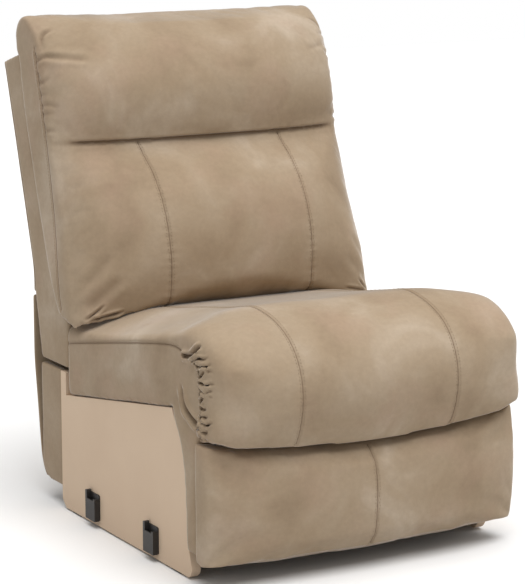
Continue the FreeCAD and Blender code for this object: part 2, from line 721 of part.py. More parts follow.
def build_hinges():
    """Plates on the seat rails, and ears on the back posts whose pins turn in them."""
    near = BAR_FAR + 6.0
    pivot = BACK_PIVOT
    low = DECK_T + RAIL_HEIGHT - 5.0
    points = [
        (near, seat_base(near) - low),
        (SEAT_REAR + 20.0, seat_base(SEAT_REAR + 20.0) - low),
        (pivot[0] + HINGE_EYE, pivot[1] - 14.0),
        (pivot[0] + 14.0, pivot[1] + HINGE_EYE),
        (pivot[0] - 14.0, pivot[1] + HINGE_EYE),
        (SEAT_REAR + 6.0, seat_base(SEAT_REAR + 6.0) - DECK_T - 8.0),
        (near, seat_base(near) - DECK_T - 8.0),
    ]
    plate_x = (RAIL_OUT, RAIL_OUT + BAR_T)
    hinge = rounded_plate(*plate_x, points, 8.0)
    keep_pair("hinge_plate", hinge.cut(rod(plate_x[0] - 1.0, plate_x[1] + 1.0, pivot, PIN_R + RUNNING_GAP)))
    ear = [
        (pivot[0] - 16.0, pivot[1] - 12.0),
        (pivot[0] + 18.0, pivot[1] - 12.0),
        (pivot[0] + 46.0, pivot[1] + 140.0),
        (pivot[0] + 14.0, pivot[1] + 140.0),
    ]
    shape = rounded_plate(EAR_IN, POST_IN, ear, 8.0)
    pin = rod(RAIL_OUT - SIDE_GAP, POST_IN, pivot, PIN_R)
    head = rod(RAIL_OUT - SIDE_GAP - HEAD_T, RAIL_OUT - SIDE_GAP, pivot, PIN_R + HEAD_T)
    keep_pair("back_ear", shape.multiFuse([pin, head]).removeSplitter())


def build_back_frame():
    setback = WEB_T + 0.5
    low = back_point(0.0, 0.0)[1] + PIVOT_RISE - 12.0
    top = WING_HEAD[1] - 27.0
    rear_low = BACK_PIVOT[0] + 25.0
    rear_top = wing_edge(top)[0] + 46.0
    waist = wing_edge(WING_WAIST[1], setback)
    steps = [waist, wing_arc(WING_WAIST[1], top, setback), (rear_top, top), (rear_low, low)]
    keep_pair("back_post", plate(POST_IN, POST_OUT, (waist[0] - 2.0, low), steps))

    def rail(share, inset):
        foot = UPSTAND_TOP + share * BACK_RISE
        head = foot + BACK_RAIL_HEIGHT
        near = wing_edge(foot, setback + inset)
        steps = [(near[0] + RAIL_T, foot), wing_edge(head, setback + inset + RAIL_T)]
        steps.append(wing_edge(head, setback + inset))
        return plate(-POST_IN, POST_IN, near, steps)

    keep("back_top_rail", rail(0.885, 10.0))
    keep("back_middle_rail", rail(0.52, 12.0))
    foot = BACK_PIVOT[1] + HINGE_EYE + 10.0
    head = foot + BACK_RAIL_HEIGHT
    near = BACK_PIVOT[0] - 12.0
    lower = [(near + RAIL_T, foot), (near + RAIL_T + 12.0, head), (near + 12.0, head)]
    keep("back_lower_rail", plate(-EAR_IN, EAR_IN, (near, foot), lower))
    straps = []
    first = WING_WAIST[1] + 40.0
    pitch = (top - WEB_HEIGHT - first) / (WEB_COUNT - 1)
    for index in range(WEB_COUNT):
        bottom = first + index * pitch
        near_low = wing_edge(bottom)
        near_high = wing_edge(bottom + WEB_HEIGHT)
        steps = [near_high, (near_high[0] + WEB_T, near_high[1]), (near_low[0] + WEB_T, near_low[1])]
        straps.append(plate(-POST_OUT + 2.0, POST_OUT - 2.0, near_low, steps))
    keep("back_webbing", *straps)


def cap_line(station):
    """Sloping top of the back frame behind the head cushion."""
    fall = (BACK_TOP - SHEET_HEAD[1]) / BACK_TOP_LENGTH
    return SHEET_HEAD[1] + (SHEET_HEAD[0] - station) * fall


def build_back_skins():
    low = UPSTAND_TOP + BACK_CLEAR
    steps = [
        WING_WAIST,
        wing_arc(WING_WAIST[1], WING_HEAD[1]),
        (WING_HEAD[0] + 5.0, cap_line(WING_HEAD[0] + 5.0)),
        SHEET_HEAD,
        SHEET_BEND,
        SHEET_WAIST,
        SHEET_FOOT,
        (PANEL_REAR + APRON_LENGTH - 5.0, low),
        (WING_FOOT[0] + 3.0, low),
    ]
    keep_pair("back_wing", plate(POST_OUT, PANEL_OUT, WING_FOOT, steps))
    inner = [SHEET_FOOT, SHEET_WAIST, SHEET_BEND, SHEET_HEAD]
    outer = [(p[0] + BACK_SHEET_T, p[1]) for p in reversed(inner)]
    keep("outer_back", plate(-PANEL_OUT, PANEL_OUT, inner[0], inner[1:] + outer))
    near = WING_HEAD[0] + 5.0
    far = SHEET_HEAD[0] - 1.0
    under = far - 0.4 * CAP_T
    steps = [(far, cap_line(far)), (under, cap_line(under) - CAP_T), (near, cap_line(near) - CAP_T)]
    keep("back_cap", plate(-POST_OUT, POST_OUT, (near, cap_line(near)), steps))


LUMBAR_TOP = UPSTAND_TOP + 0.731 * BACK_RISE
CUSHION_SETBACK = -0.5


def lumbar_section(u):
    full = swell(u, 4)
    round_full = swell(u, 2.6)
    middle = UPSTAND_TOP + 0.385 * BACK_RISE
    foot_low = WING_FOOT[1]
    station = border(foot_low) - 0.7 * LUMBAR_CROWN * full
    foot = (station, max(foot_low, seat_top(station, u) + 0.5 * EDGE_LIFT))
    rear_station, rear_low = wing_edge(foot_low + 22.0, CUSHION_SETBACK)
    rear = (rear_station, max(rear_low, seat_top(rear_station, u) + EDGE_LIFT))
    top = (border(LUMBAR_TOP) - 0.45 * LUMBAR_CROWN * round_full, LUMBAR_TOP)
    belly = (border(middle) - LUMBAR_CROWN * round_full - 10.0, middle)
    waist = wing_edge(WING_WAIST[1], CUSHION_SETBACK)
    top_rear = wing_edge(LUMBAR_TOP + 2.0, CUSHION_SETBACK)
    down = wing_edge((LUMBAR_TOP + WING_WAIST[1]) / 2, CUSHION_SETBACK)
    return rear, [foot, (belly, top), top_rear, (down, waist)]


def head_section(u):
    full = swell(u, 2.4)
    flat = swell(u, 6)
    low = LUMBAR_TOP + 4.0
    front_low = (border(low) - 0.68 * HEAD_CROWN * full - 4.0, low + 2.0)
    middle = low + 0.42 * (BACK_TOP - low) + 10.0
    front = (border(middle) - HEAD_CROWN * full - 8.0, middle)
    brow_height = BACK_TOP + 0.25 * HEAD_OVER
    brow = (border(brow_height) - 0.7 * HEAD_CROWN * full - 4.0, brow_height)
    crown = (WING_HEAD[0] - 49.0, BACK_TOP + HEAD_OVER - 14.0 * (1 - flat))
    nape = (crown[0] + 36.0 + 48.0 * flat, BACK_TOP + 0.35 * HEAD_OVER)
    over = smooth_arc(front_low, front, brow, crown)
    rest = max(nape[0] - 11.0, WING_HEAD[0] + 6.0)
    seat_far = (rest, cap_line(rest) + RUNNING_GAP)
    seat_near = (WING_HEAD[0] + CUSHION_SETBACK, cap_line(WING_HEAD[0]) + RUNNING_GAP)
    rear_low = wing_edge(low, CUSHION_SETBACK)
    rear_mid = wing_edge((low + WING_HEAD[1]) / 2, CUSHION_SETBACK)
    steps = [(front, brow), over, smooth_arc(brow, over[0], crown, nape)]
    steps += [seat_far, seat_near, (rear_mid, rear_low)]
    return front_low, steps


def build_back_cushions():
    shares = (0.25, 0.5, 0.75, 0.9, 0.97, 1.0)
    keep("lumbar_cushion", cushion(lumbar_section, CUSHION_END, shares))
    keep("head_cushion", cushion(head_section, CUSHION_END, shares))


build_panels()
build_stretchers()
build_apron()
build_joiners()
build_tracks()
build_seat_frame()
build_front_posts()
build_seat_cushion()
build_links()
build_rivets()
build_cross_tube()
build_linkage_brackets()
build_footrest()
build_hinges()
build_back_frame()
build_back_skins()
build_back_cushions()

os.makedirs("parts", exist_ok=True)
for name, shape in NODES.items():
    if not shape.isValid():
        print("not valid:", name)
    shape.exportStep("parts/%s.step" % name)
print("pieces:", len(NODES))
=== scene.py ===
"""Look of an armless reclining sofa module: sewn suede cushions on the CAD frame, in soft studio light.

Metres, in the CAD frame. A side view uses stations, measured back from the footrest's face, and heights.
"""

import itertools
import math

import bmesh
import bpy
import numpy as np
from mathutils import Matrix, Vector


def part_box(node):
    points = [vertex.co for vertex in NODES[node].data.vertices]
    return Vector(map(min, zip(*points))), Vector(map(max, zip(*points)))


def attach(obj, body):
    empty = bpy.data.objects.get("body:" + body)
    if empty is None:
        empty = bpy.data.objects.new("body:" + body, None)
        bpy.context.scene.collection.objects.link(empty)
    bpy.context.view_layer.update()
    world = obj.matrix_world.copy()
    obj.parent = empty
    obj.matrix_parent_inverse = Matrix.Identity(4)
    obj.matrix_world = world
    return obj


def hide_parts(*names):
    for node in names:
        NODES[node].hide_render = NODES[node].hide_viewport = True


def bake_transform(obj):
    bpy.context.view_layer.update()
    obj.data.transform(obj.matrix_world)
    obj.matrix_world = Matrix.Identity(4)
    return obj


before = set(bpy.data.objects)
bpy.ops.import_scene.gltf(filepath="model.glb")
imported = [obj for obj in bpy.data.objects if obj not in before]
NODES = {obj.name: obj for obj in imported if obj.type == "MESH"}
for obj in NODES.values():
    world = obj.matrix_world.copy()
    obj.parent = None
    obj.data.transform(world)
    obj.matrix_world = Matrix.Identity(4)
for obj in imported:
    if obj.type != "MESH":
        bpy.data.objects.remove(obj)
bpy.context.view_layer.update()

SCENE = bpy.context.scene

# Places from the frame
PANEL_REAR = 0.678                  # station of the side board's rear edge
FACE_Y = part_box("left_side_panel")[1].y - PANEL_REAR
CUSHION_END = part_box("footrest_pad")[1].x - 0.010
SEAT_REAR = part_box("seat_cushion")[1].y - FACE_Y
POST_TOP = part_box("left_front_post")[1].z
LUMBAR_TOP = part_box("head_cushion")[0].z

# Covers
COVER_VOXEL = 0.006                 # mesh size of a cushion's skin before it is subdivided
BOARD_VOXEL = 0.004
CLOTH_STEPS = 15
SHEET_THICK = 0.003
SIDES = (-1, 1)
FACES_DOWN = -0.75                  # limits of a normal's part that count as facing down or back
FACES_BACK = 0.6
ROLL_CORNER = (0.31, 0.16, 0.45)    # across, station and height where the roll's ends are stuffed
CREST_REAR = 0.36                   # the seat's crest lies ahead of this station and above this height
CREST_LOW = 0.44

# Sewing
SEAT_SEAM_X = 0.178                 # long seams of the seat and its roll
LUMBAR_SEAM_X = 0.171
SEAM_WIDTH = 0.0034
SEAM_R = 0.0006                     # dark thread in a seam, its darkness partly painted shade of the seam's groove
STITCH_R = 0.00055
STITCH_RISE = 0.0005
STITCH_PITCH = 0.0068
STITCH_OFFSET = 0.0055              # stitches on both sides of a seam
END_STITCH_OFFSET = 0.006           # stitches on one side of a seam at a cushion's end
LINE_STEP = 0.006                   # distance between the points of a line on a skin

# Lines seen from the side, as stations and heights
SIDE_SEAM = [(0.634, 0.371), (0.45, 0.407), (0.28, 0.439), (0.175, 0.456), (0.13, 0.456), (0.106, 0.447)]
ROLL_SEAM = [(0.106, 0.447), (0.072, 0.445), (0.047, 0.43), (0.04, 0.4), (0.036, 0.36), (0.03, 0.325),
             (0.03, 0.303)]
PLEAT = [(0.118, 0.39), (0.1, 0.346), (0.06, 0.325), (0.034, 0.319)]     # fold on the roll's flat end
BORDER_LOW = (0.628, 0.421)         # sewn border of the back, at its foot and its head
BORDER_HEAD = (0.763, 0.95)
BORDER_TOP = 0.985                  # height where the border ends
REAR_SHEET_LINE = [(0.762, 0.050), (0.7855, 0.072), (0.8195, 0.303), (0.8195, 0.4445)]
OUTER_BACK_LINE = [(0.8125, 0.4525), (0.8115, 0.4985), (0.8565, 0.647), (0.9493, 0.9415)]

# Folds at the corners of the back: places in from its side and heights, then depth, width and shade
CORNER_FOLDS = (
    ([(0.004, 0.434), (0.02, 0.445), (0.044, 0.468)], 0.005, 0.0032, 0.85),
    ([(0.01, 0.432), (0.042, 0.441), (0.085, 0.451)], 0.005, 0.0032, 0.8),
    ([(0.006, 0.455), (0.04, 0.485), (0.08, 0.525)], 0.003, 0.010, 0.1),
    ([(0.006, 0.50), (0.03, 0.53), (0.06, 0.57)], 0.0025, 0.010, 0.08),
    ([(0.006, 0.968), (0.04, 0.966), (0.09, 0.962)], 0.0028, 0.007, 0.2),
    ([(0.004, 0.985), (0.014, 1.01), (0.04, 1.025)], 0.0035, 0.005, 0.4),
)
RIGHT_FOLD_SHARE = 0.4              # the right side's folds are shallower
LOOKOUT = -0.2                      # station from which a cushion's front is looked at

# Light
KEY_WAY = (0.05, -0.25, 0.967)      # towards the lamp
KEY_STRENGTH = 3.0
KEY_SPREAD = 60                     # degrees
WORLD_STRENGTH = 0.46
FLOOR_HALF = 9.0

# Camera, found from the photo's perspective
CAMERA_PLACE = (-2.439, -3.848, 1.4495)
CAMERA_TARGET = (-0.0414, 0.3447, 0.5010)
CAMERA_LENS = 146.98

# Back cover, left without a body in its baked place; its foot lies between the seat and the back
BENT = "bent"
BEND_LOW = (0.0, 0.565, 0.43)


def spot(x, station, height):
    return np.array((x, FACE_Y + station, height))


# Meshes

def coordinates(piece):
    values = np.empty(len(piece.data.vertices) * 3)
    piece.data.vertices.foreach_get("co", values)
    return values.reshape(-1, 3)


def normals(piece):
    values = np.empty(len(piece.data.vertices) * 3, dtype=np.float32)
    piece.data.vertex_normals.foreach_get("vector", values)
    return values.reshape(-1, 3).astype(float)


def move(piece, points):
    piece.data.vertices.foreach_set("co", points.ravel())
    piece.data.update()


def new_piece(name, points, faces):
    mesh = bpy.data.meshes.new(name)
    mesh.from_pydata([tuple(point) for point in points], [], faces)
    mesh.update()
    piece = bpy.data.objects.new(name, mesh)
    SCENE.collection.objects.link(piece)
    return piece


def bake(piece):
    """Turns a piece's modifiers into its mesh."""
    graph = bpy.context.evaluated_depsgraph_get()
    mesh = bpy.data.meshes.new_from_object(piece.evaluated_get(graph))
    piece.modifiers.clear()
    piece.vertex_groups.clear()
    piece.data = mesh


def smooth_faces(piece):
    piece.data.polygons.foreach_set("use_smooth", [True] * len(piece.data.polygons))
    piece.data.update()


BOX_FACES = ((0, 1, 3, 2), (4, 6, 7, 5), (0, 4, 5, 1), (2, 3, 7, 6), (0, 2, 6, 4), (1, 5, 7, 3))


def remeshed(name, nodes, voxel, bridges=()):
    """CAD nodes, and the boxes that bridge them, as one even closed mesh."""
    points = []
    faces = []
    for mesh in [NODES[node].data for node in nodes]:
        base = len(points)
        points += [tuple(vertex.co) for vertex in mesh.vertices]
        faces += [tuple(base + i for i in face.vertices) for face in mesh.polygons]
    for low, high in bridges:
        base = len(points)
        points += itertools.product(*zip(low, high))
        faces += [tuple(base + i for i in face) for face in BOX_FACES]
    piece = new_piece(name, points, faces)
    even = piece.modifiers.new("even", "REMESH")
    even.mode = "VOXEL"
    even.voxel_size = voxel
    bake(piece)
    piece.data.materials.clear()
    return piece


def relax(piece, rounds, share=None):
    """Smooths a skin, all of it or each point by its share."""
    soft = piece.modifiers.new("relax", "SMOOTH")
    soft.factor = 0.5
    soft.iterations = rounds
    if share is not None:
        group = piece.vertex_groups.new(name="soft")
        for i in np.nonzero(share > 0.01)[0]:
            group.add([int(i)], float(share[i]), "REPLACE")
        soft.vertex_group = "soft"
    bake(piece)


def subdivide(piece):
    finer = piece.modifiers.new("finer", "SUBSURF")
    finer.levels = 1
    finer.render_levels = 1
    bake(piece)
    smooth_faces(piece)


def refine(piece, low, high):
    """Halves the mesh's edges within a box."""
    points = coordinates(piece)
    within = np.all((points > low) & (points < high), axis=1)
    grid = bmesh.new()
    grid.from_mesh(piece.data)
    edges = [edge for edge in grid.edges if all(within[end.index] for end in edge.verts)]
    bmesh.ops.subdivide_edges(grid, edges=edges, cuts=1, use_grid_fill=True)
    grid.to_mesh(piece.data)
    grid.free()
    smooth_faces(piece)


def puff(piece, held, slump, cap, slack=0.0, calm=6):
    """Stuffs a sewn cover: it slumps where it isn't held, then air pressure pushes it out, up to a cap."""
    loose = np.where(held, 0.0, 1.0)[:, None]
    start = coordinates(piece) - slump * loose * normals(piece)
    move(piece, start)
    group = piece.vertex_groups.new(name="held")
    group.add([int(i) for i in np.nonzero(held)[0]], 1.0, "REPLACE")
    cover = piece.modifiers.new("cover", "CLOTH")
    cover.settings.quality = 3
    cover.settings.mass = 0.25
    cover.settings.tension_stiffness = 15.0
    cover.settings.compression_stiffness = 15.0
    cover.settings.shear_stiffness = 8.0
    cover.settings.bending_stiffness = 0.4
    cover.settings.use_pressure = True
    cover.settings.uniform_pressure_force = 4.0
    cover.settings.vertex_group_mass = "held"
    cover.settings.shrink_min = -slack
    cover.settings.effector_weights.gravity = 0.0
    cover.collision_settings.use_collision = False
    for step in range(1, CLOTH_STEPS + 1):
        SCENE.frame_set(step)
    bake(piece)
    SCENE.frame_set(1)
    moved = coordinates(piece) - start
    length = np.linalg.norm(moved, axis=1)
    share = np.minimum(1.0, cap / np.maximum(length, 1e-9))
    move(piece, start + moved * share[:, None])
    relax(piece, calm)


# Lines on a skin

def through(points, count):
    """Smooth line through points."""
    points = np.array(points, dtype=float)
    ends = np.vstack([2 * points[0] - points[1], points, 2 * points[-1] - points[-2]])
    line = []
    for value in np.linspace(0, len(points) - 1, count):
        first = min(int(value), len(points) - 2)
        t = value - first
        a, b, c, d = ends[first:first + 4]
        line.append(0.5 * (2 * b + (c - a) * t + (2 * a - 5 * b + 4 * c - d) * t ** 2
                           + (3 * b - a - 3 * c + d) * t ** 3))
    return np.array(line)


def side_line(x, places, count):
    """Smooth line at x through stations and heights."""
    return through([spot(x, *place) for place in places], count)


def on_skin(piece, line):
    """Nearest points of the skin, and its normals there."""
    bpy.context.view_layer.update()
    found = [piece.closest_point_on_mesh(Vector(point)) for point in line]
    return np.array([hit[1] for hit in found]), np.array([hit[2] for hit in found])


def cut(piece, x, centre, first, last, count):
    """Line where the plane at x cuts the skin, between two angles round a centre, in degrees."""
    bpy.context.view_layer.update()
    line = []
    for angle in np.radians(np.linspace(first, last, count)):
        way = Vector((0.0, math.cos(angle), math.sin(angle)))
        hit, place, _, _ = piece.ray_cast(Vector(spot(x, *centre)), way)
        if hit:
            line.append(place)
    return even_line(np.array(line), LINE_STEP)


def even_line(line, step):
    """The same line with its points an even step apart."""
    runs = np.linalg.norm(np.diff(line, axis=0), axis=1)
    along = np.concatenate([[0.0], np.cumsum(runs)])
    places = np.linspace(0.0, along[-1], max(2, int(along[-1] / step)))
    return np.stack([np.interp(places, along, line[:, axis]) for axis in range(3)], axis=1)


def near_line(points, line, reach):
    """Which points are near a line, their distances from it, and how far along it they are."""
    low = line.min(axis=0) - reach
    high = line.max(axis=0) + reach
    near = np.nonzero(np.all((points > low) & (points < high), axis=1))[0]
    some = points[near]
    gap = np.full(len(near), np.inf)
    along = np.zeros(len(near))
    done = 0.0
    for start, end in zip(line[:-1], line[1:]):
        run = end - start
        length = max(np.linalg.norm(run), 1e-9)
        part = np.clip((some - start) @ run / length ** 2, 0.0, 1.0)
        away = np.linalg.norm(some - start - part[:, None] * run, axis=1)
        nearer = away < gap
        gap[nearer] = away[nearer]
        along[nearer] = done + part[nearer] * length
        done += length
    return near, gap, along, done


def paint_crease_shade(piece, which, amount):
    """Paints shade into the suede's colour at points in seams and creases: a darkening that stands for the
    shade in their grooves.
    """
    mark = piece.data.attributes.get("shaded_crease") or piece.data.attributes.new("shaded_crease", "FLOAT", "POINT")
    values = np.zeros(len(piece.data.vertices), dtype=np.float32)
    mark.data.foreach_get("value", values)
    values[which] = np.maximum(values[which], amount)
    mark.data.foreach_set("value", values)


def carve(piece, line, depth, width, lip=0.0, fade=0.0, painted_shade=0.8, rooted=False):
    """Groove along a line on the skin, with raised lips and painted shade in it. It fades at its ends, or
    only at the far one.
    """
    points = coordinates(piece)
    near, gap, along, total = near_line(points, line, 4 * width)
    shape = lip * np.exp(-((gap - 1.9 * width) / width) ** 2) - np.exp(-(gap / width) ** 2)
    ends = np.ones(len(near))
    if fade:
        left = total - along if rooted else np.minimum(along, total - along)
        ends = np.clip(left / fade, 0.0, 1.0)
    points[near] += (depth * shape * ends)[:, None] * normals(piece)[near]
    move(piece, points)
    # painted shade in the groove, strongest at its middle
    paint_crease_shade(piece, near, painted_shade * ends * np.exp(-(gap / (0.7 * width)) ** 2))


def noise(points, size, seed):
    """Smooth noise from -1 to 1, with features of a size."""
    grid = points / size
    cell = np.floor(grid)
    part = grid - cell
    part = part * part * (3 - 2 * part)
    total = np.zeros(len(points))
    for corner in itertools.product((0, 1), repeat=3):
        key = (cell + corner) @ np.array((12.9898, 78.233, 37.719)) + 7.31 * seed
        value = np.modf(np.abs(np.sin(key)) * 43758.5453)[0] * 2 - 1
        weight = np.prod(np.where(np.array(corner) == 1, part, 1 - part), axis=1)
        total += value * weight
    return total


def undulate(piece, depth, size, seed):
    """Uneven filling under the cover."""
    points = coordinates(piece)
    move(piece, points + (depth * noise(points, size, seed))[:, None] * normals(piece))


def gather(piece, seam, inward, count, reach, depth, seed, width=0.0036, painted_shade=0.9):
    """Creases that run in from a gathered seam and die out on the cushion, with painted shade in them."""
    dice = np.random.default_rng(seed)
    last = len(seam) - 2
    for share in np.linspace(0.04, 0.98, count) + dice.uniform(-0.02, 0.02, count):
        place = int(np.clip(share * last, 1, last))
        along = seam[place + 1] - seam[place - 1]
        along /= max(np.linalg.norm(along), 1e-9)
        length = reach * dice.uniform(0.55, 1.1)
        bend = dice.uniform(-0.35, 0.35)
        turns = [seam[place], seam[place] + length * (0.5 * np.array(inward) + bend * along),
                 seam[place] + length * (np.array(inward) + 0.6 * bend * along)]
        line = on_skin(piece, through(turns, 14))[0]
        carve(piece, line, depth * dice.uniform(0.6, 1.1), width, lip=0.7, fade=0.7 * length, painted_shade=painted_shade,
              rooted=True)


def pucker(piece, line, depth, pitch, reach, seed, keep=None, painted_shade=0.0):
    """Ripples across a sewn line, dying out away from it. Their troughs get painted shade when a shade
    amount is given.
    """
    points = coordinates(piece)
    near, gap, along, _ = near_line(points, line, 2.5 * reach)
    wander = np.stack([along, np.zeros_like(along), np.zeros_like(along)], axis=1)
    phase = 2 * math.pi * along / pitch + 2.2 * noise(wander, 2.4 * pitch, seed)
    uneven = 0.65 + 0.35 * noise(wander, 1.7 * pitch, seed + 5)
    ripple = np.sin(phase) * uneven * np.exp(-(gap / reach) ** 1.5)
    if keep is not None:
        ripple = ripple * keep(points[near])
    points[near] += (depth * ripple)[:, None] * normals(piece)[near]
    move(piece, points)
    # painted shade in the ripples' troughs
    if painted_shade:
        paint_crease_shade(piece, near, painted_shade * np.clip(-ripple - 0.25, 0.0, 0.5))


# Threads

def tubes(name, paths, radius, sides=6):
    """Round threads along paths, as one mesh."""
    points = []
    faces = []
    turns = np.linspace(0, 2 * math.pi, sides, endpoint=False)
    for path in paths:
        path = np.array(path)
        way = np.gradient(path, axis=0)
        way /= np.maximum(np.linalg.norm(way, axis=1), 1e-9)[:, None]
        helper = np.where(np.abs(way[:, :1]) < 0.8, np.array([[1.0, 0, 0]]), np.array([[0, 0, 1.0]]))
        across = np.cross(way, helper)
        across /= np.linalg.norm(across, axis=1)[:, None]
        other = np.cross(way, across)
        base = len(points)
        for place, u, v in zip(path, across, other):
            for turn in turns:
                points.append(place + radius * (math.cos(turn) * u + math.sin(turn) * v))
        for ring in range(len(path) - 1):
            for side in range(sides):
                after = (side + 1) % sides
                low = base + ring * sides
                faces.append((low + side, low + after, low + sides + after, low + sides + side))
        faces.append(tuple(base + side for side in reversed(range(sides))))
        faces.append(tuple(base + (len(path) - 1) * sides + side for side in range(sides)))
    piece = new_piece(name, points, faces)
    smooth_faces(piece)
    return piece


def stitch_paths(piece, line, offset):
    """Short raised stitches along a line, moved to one side of it."""
    skin, up = on_skin(piece, line)
    way = np.gradient(skin, axis=0)
    way /= np.maximum(np.linalg.norm(way, axis=1), 1e-9)[:, None]
    row = even_line(on_skin(piece, skin + offset * np.cross(up, way))[0], STITCH_PITCH / 4)
    skin, up = on_skin(piece, row)
    paths = []
    for first in range(0, len(skin) - 3, 4):
        lift = np.array((0.0, STITCH_RISE, 0.0))
        paths.append(skin[first:first + 3] + lift[:, None] * up[first:first + 3])
    return paths


def sewn(name, piece, lines, body, rows=(-STITCH_OFFSET, STITCH_OFFSET)):
    """A dark thread in each seam, darkened as painted shade of the groove, and stitches beside it."""
    seams = [on_skin(piece, line)[0] for line in lines]
    cord = tubes(name + "_seams", seams, SEAM_R)
    finish(cord, SEAM_SHADE_CORD, body)
    paths = []
    for line in lines:
        for offset in rows:
            paths += stitch_paths(piece, line, offset)
    stitches = tubes(name + "_stitches", paths, STITCH_R, sides=5)
    finish(stitches, THREAD, body)


def finish(piece, material, body):
    piece.data.materials.clear()
    piece.data.materials.append(material)
    if body == BENT:
        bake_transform(piece)
    else:
        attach(piece, body)


# Materials

def srgb(red, green, blue):
    """Colour as it is seen, in parts of 255."""
    def linear(part):
        part /= 255
        return part / 12.92 if part <= 0.04045 else ((part + 0.055) / 1.055) ** 2.4
    return (linear(red), linear(green), linear(blue), 1.0)


def shader(name, **sockets):
    """New material and its main shader, with plain numbers on the shader's own sockets."""
    made = bpy.data.materials.new(name)
    made.use_nodes = True
    main = made.node_tree.nodes["Principled BSDF"]
    for socket, value in sockets.items():
        main.inputs[socket.replace("_", " ")].default_value = value
    return made, main


def add(made, kind, **values):
    """New node. A value goes to the input of that name, or to the node itself."""
    new = made.node_tree.nodes.new(kind)
    for key, value in values.items():
        if key in new.inputs:
            new.inputs[key].default_value = value
        else:
            setattr(new, key, value)
    return new


def wire(made, source, target):
    made.node_tree.links.new(source, target)


def texture(made, scale, detail, stretch=(1.0, 1.0, 1.0), shift=(0.0, 0.0, 0.0), **values):
    """Noise in the piece's own space."""
    place = add(made, "ShaderNodeTexCoord")
    mapped = add(made, "ShaderNodeMapping", Scale=stretch, Location=shift)
    grain = add(made, "ShaderNodeTexNoise", Scale=scale, Detail=detail, **values)
    wire(made, place.outputs["Object"], mapped.inputs["Vector"])
    wire(made, mapped.outputs["Vector"], grain.inputs["Vector"])
    return grain.outputs["Fac"]


def ramp(made, source, stops):
    """Colours along a texture."""
    band = add(made, "ShaderNodeValToRGB")
    wire(made, source, band.inputs["Fac"])
    while len(band.color_ramp.elements) < len(stops):
        band.color_ramp.elements.new(0.5)
    for element, (place, colour) in zip(band.color_ramp.elements, stops):
        element.position = place
        element.color = colour
    return band.outputs["Color"]


def grey(value):
    return (value, value, value, 1.0)


def mix(made, first, second, share, how="MIX"):
    """Blend of two colours by a share."""
    blend = add(made, "ShaderNodeMix", data_type="RGBA", blend_type=how)
    wire(made, share, blend.inputs[0])
    for place, colour in ((6, first), (7, second)):
        if isinstance(colour, tuple):
            blend.inputs[place].default_value = colour
        else:
            wire(made, colour, blend.inputs[place])
    return blend.outputs[2]


def bump(made, main, source, strength, distance):
    lift = add(made, "ShaderNodeBump", Strength=strength, Distance=distance)
    wire(made, source, lift.inputs["Height"])
    wire(made, lift.outputs["Normal"], main.inputs["Normal"])


def suede_material():
    made, main = shader("suede", Roughness=0.9, Sheen_Weight=1.0, Sheen_Roughness=0.26,
                        Sheen_Tint=srgb(240, 236, 232), Specular_IOR_Level=0.12)
    cloud = texture(made, scale=6.5, detail=4.0, Roughness=0.5, Distortion=0.5)
    tone = ramp(made, cloud, [(0.26, srgb(150, 130, 107)), (0.42, srgb(163, 143, 119)),
                              (0.55, srgb(169, 150, 127)), (0.74, srgb(186, 169, 149))])
    patches = texture(made, scale=8.0, detail=3.0, shift=(3.0, 1.0, 2.0))
    blush = ramp(made, patches, [(0.5, grey(0.0)), (0.72, grey(0.3))])
    tone = mix(made, tone, srgb(175, 147, 127), blush)
    nap = texture(made, scale=95.0, detail=5.0, shift=(1.0, 4.0, 0.0), Roughness=0.7)
    brushed = ramp(made, nap, [(0.3, grey(0.86)), (0.7, grey(1.0))])
    shade = ramp(made, nap, [(0.0, grey(0.7)), (1.0, grey(0.9))])
    tone = mix(made, tone, brushed, shade, "MULTIPLY")
    # Painted shade: the colour goes towards dark brown in creases, folds and seams
    shaded_crease = add(made, "ShaderNodeAttribute", attribute_name="shaded_crease")
    tone = mix(made, tone, srgb(88, 68, 50), shaded_crease.outputs["Fac"])
    wire(made, tone, main.inputs["Base Color"])
    grain = texture(made, scale=620.0, detail=3.0, Roughness=0.75)
    bump(made, main, grain, strength=0.35, distance=0.0006)
    return made


def plain_material(name, colours, scale, depth, stretch=(1.0, 1.0, 1.0), **sockets):
    """Material of two tones in a stretched grain, with a bump of that grain."""
    made, main = shader(name, **sockets)
    grain = texture(made, scale, detail=5.0, stretch=stretch, Roughness=0.6)
    wire(made, ramp(made, grain, [(0.3, colours[0]), (0.7, colours[1])]), main.inputs["Base Color"])
    bump(made, main, grain, strength=0.3, distance=depth)
    return made


def lining_material():
    made, main = shader("lining", Roughness=0.85, Sheen_Weight=0.1, Specular_IOR_Level=0.15)
    cloud = texture(made, scale=5.0, detail=3.0)
    tone = ramp(made, cloud, [(0.3, srgb(212, 187, 161)), (0.7, srgb(220, 196, 170))])
    place = add(made, "ShaderNodeTexCoord")
    weave = []
    for direction in ("Y", "Z"):
        band = add(made, "ShaderNodeTexWave", bands_direction=direction, Scale=260.0, Distortion=0.6)
        wire(made, place.outputs["Object"], band.inputs["Vector"])
        weave.append(band.outputs["Fac"])
    both = add(made, "ShaderNodeMath", operation="MULTIPLY")
    wire(made, weave[0], both.inputs[0])
    wire(made, weave[1], both.inputs[1])
    shade = ramp(made, both.outputs["Value"], [(0.0, grey(0.93)), (0.6, grey(1.0))])
    tone = mix(made, tone, shade, cloud, "MULTIPLY")
    wire(made, tone, main.inputs["Base Color"])
    bump(made, main, both.outputs["Value"], strength=0.2, distance=0.0003)
    return made


